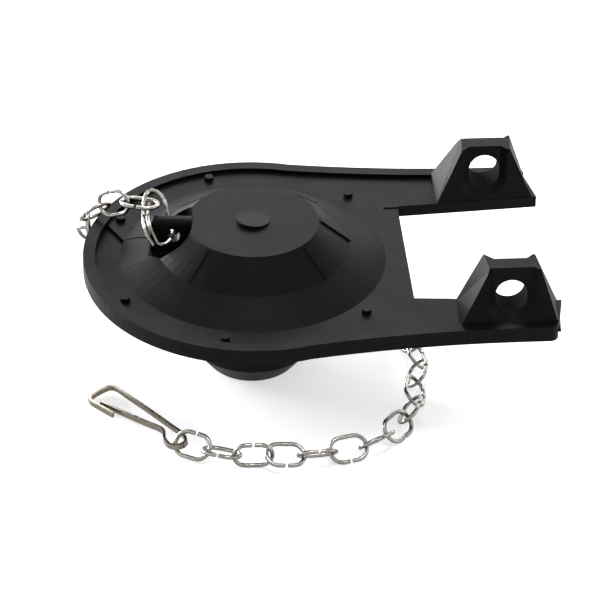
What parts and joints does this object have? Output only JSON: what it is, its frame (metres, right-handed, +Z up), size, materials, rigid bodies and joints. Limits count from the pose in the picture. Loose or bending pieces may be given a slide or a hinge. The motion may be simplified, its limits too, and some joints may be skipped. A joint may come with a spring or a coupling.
{
  "type": "toilet flapper",
  "caption": "Moulded rubber flush valve flapper with two hinge ears, a hollow bulb, a chain lug and a lift chain of open wire links ending in a lever clip.",
  "frame": {"origin": "middle of the rubber body's length and width, at the level of its foot and of the chain on the ground", "axes": "+X from the disc toward the hinge ears, +Y to the back of the picture, +Z up from the foot to the dome"},
  "size_m": [0.1323, 0.1033, 0.0503],
  "materials": {
    "rubber": "satin black moulded rubber",
    "nickel": "bright nickel-plated wire"
  },
  "bodies": {
    "root": {"flapper_body": "rubber", "lug_ring": "nickel", "chain_link_01": "nickel", "chain_link_02": "nickel", "chain_link_03": "nickel", "chain_link_04": "nickel", "chain_link_05": "nickel", "chain_link_06": "nickel", "chain_link_07": "nickel", "chain_link_08": "nickel", "chain_link_09": "nickel", "chain_link_10": "nickel", "chain_link_11": "nickel", "chain_link_12": "nickel", "chain_link_13": "nickel", "chain_link_14": "nickel", "chain_link_15": "nickel", "chain_link_16": "nickel", "chain_link_17": "nickel", "chain_link_18": "nickel", "chain_link_19": "nickel", "chain_link_20": "nickel", "chain_link_21": "nickel", "chain_link_22": "nickel", "chain_link_23": "nickel", "chain_link_24": "nickel", "chain_link_25": "nickel", "chain_link_26": "nickel", "chain_link_27": "nickel", "chain_link_28": "nickel", "chain_link_29": "nickel", "chain_link_30": "nickel", "lever_clip": "nickel"}
  },
  "joints": []
}
